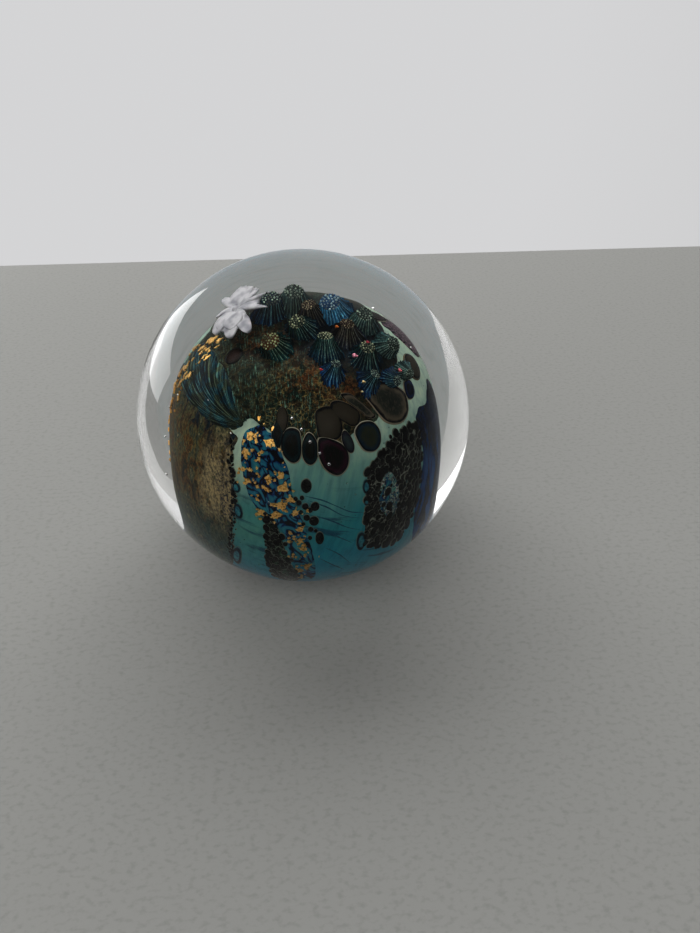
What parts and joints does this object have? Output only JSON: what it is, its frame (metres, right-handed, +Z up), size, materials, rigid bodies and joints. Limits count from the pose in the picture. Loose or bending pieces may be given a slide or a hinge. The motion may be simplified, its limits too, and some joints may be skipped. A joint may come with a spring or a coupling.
{
  "type": "glass paperweight",
  "caption": "Clear glass ball paperweight with a flat ground foot, round a coloured glass core with murrine canes, gold leaf and a white flower.",
  "frame": {"origin": "middle of the flat ground foot, on the surface the paperweight rests on", "axes": "+Z up through the ball's middle, -Y to the front, the side with the gold leaf stripe"},
  "size_m": [0.076, 0.076, 0.072],
  "materials": {
    "clear_glass": "clear crystal, fire polished, ground and polished foot",
    "dark_glass": "opaque dark glass",
    "teal_glass": "opaque teal glass, sage towards the crown",
    "landscape_glass": "mottled olive and rust glass with fine turquoise threads",
    "khaki_glass": "streaky khaki and olive glass with a sandy area",
    "striated_glass": "blue and teal glass in fine stripes",
    "navy_glass": "opaque navy glass with black mottling",
    "plum_glass": "dark purple glass with pale streaks",
    "black_frit": "black frit in a fine grey network",
    "mosaic_glass": "teal and blue crushed murrine",
    "swirl_glass": "black and cobalt glass swirled over teal",
    "green_frit": "dark green and black frit",
    "gold_leaf": "torn gold leaf",
    "lobe_glass": "dark green glass with a teal rim",
    "plum_lobe_glass": "purple black glass",
    "olive_lobe_glass": "olive black glass with a beige rim",
    "ring_glass": "teal glass inside a dark ring",
    "black_glass": "black glass",
    "brown_glass": "dark brown glass",
    "white_glass": "white lampworked glass",
    "cane_khaki_glass": "khaki rods in teal",
    "cane_teal_glass": "dark teal striped rods",
    "cane_blue_glass": "bright blue striped rods",
    "cane_sage_glass": "grey green striped rods",
    "cane_russet_glass": "russet and dark green rods"
  },
  "bodies": {
    "root": {"cane_back_left": "cane_blue_glass", "cane_blue_front": "cane_blue_glass", "cane_blue_front_right": "cane_blue_glass", "cane_bright_blue": "cane_blue_glass", "cane_khaki": "cane_khaki_glass", "cane_middle": "cane_teal_glass", "cane_middle_back": "cane_teal_glass", "cane_navy_right": "cane_blue_glass", "cane_russet": "cane_russet_glass", "cane_sage_back": "cane_sage_glass", "cane_sage_right": "cane_sage_glass", "cane_tall_back": "cane_teal_glass", "cane_teal_front": "cane_teal_glass", "cane_teal_right": "cane_teal_glass", "clear_casing": "clear_glass", "dark_core": "dark_glass", "dot_in_frit": "black_glass", "dot_lower": "black_glass", "dot_upper": "black_glass", "flower_bead": "white_glass", "frit_patch": "black_frit", "frit_stripe": "green_frit", "gold_leaf_foot": "gold_leaf", "gold_leaf_lower": "gold_leaf", "gold_leaf_middle": "gold_leaf", "gold_leaf_rim": "gold_leaf", "gold_leaf_shoulder": "gold_leaf", "gold_leaf_top": "gold_leaf", "khaki_panel": "khaki_glass", "landscape_cap": "landscape_glass", "lobe_bottle_green": "lobe_glass", "lobe_dark_green_left": "lobe_glass", "lobe_dark_green_right": "lobe_glass", "lobe_grey": "olive_lobe_glass", "lobe_mauve": "olive_lobe_glass", "lobe_navy": "navy_glass", "lobe_olive": "olive_lobe_glass", "lobe_plum": "plum_lobe_glass", "lobe_right_shoulder": "olive_lobe_glass", "lobe_teardrop": "olive_lobe_glass", "lobe_umber": "olive_lobe_glass", "mosaic_heart": "mosaic_glass", "navy_band": "navy_glass", "petal_back": "white_glass", "petal_back_left": "white_glass", "petal_front": "white_glass", "petal_front_left": "white_glass", "petal_front_right": "white_glass", "petal_right": "white_glass", "plum_streak": "plum_glass", "ring_left": "ring_glass", "ring_left_low": "ring_glass", "ring_left_upper": "ring_glass", "ring_right": "ring_glass", "ring_right_low": "ring_glass", "ring_right_upper": "ring_glass", "spot_brown": "brown_glass", "striated_band": "striated_glass", "swirl_stripe": "swirl_glass", "teal_ground": "teal_glass"}
  },
  "joints": []
}
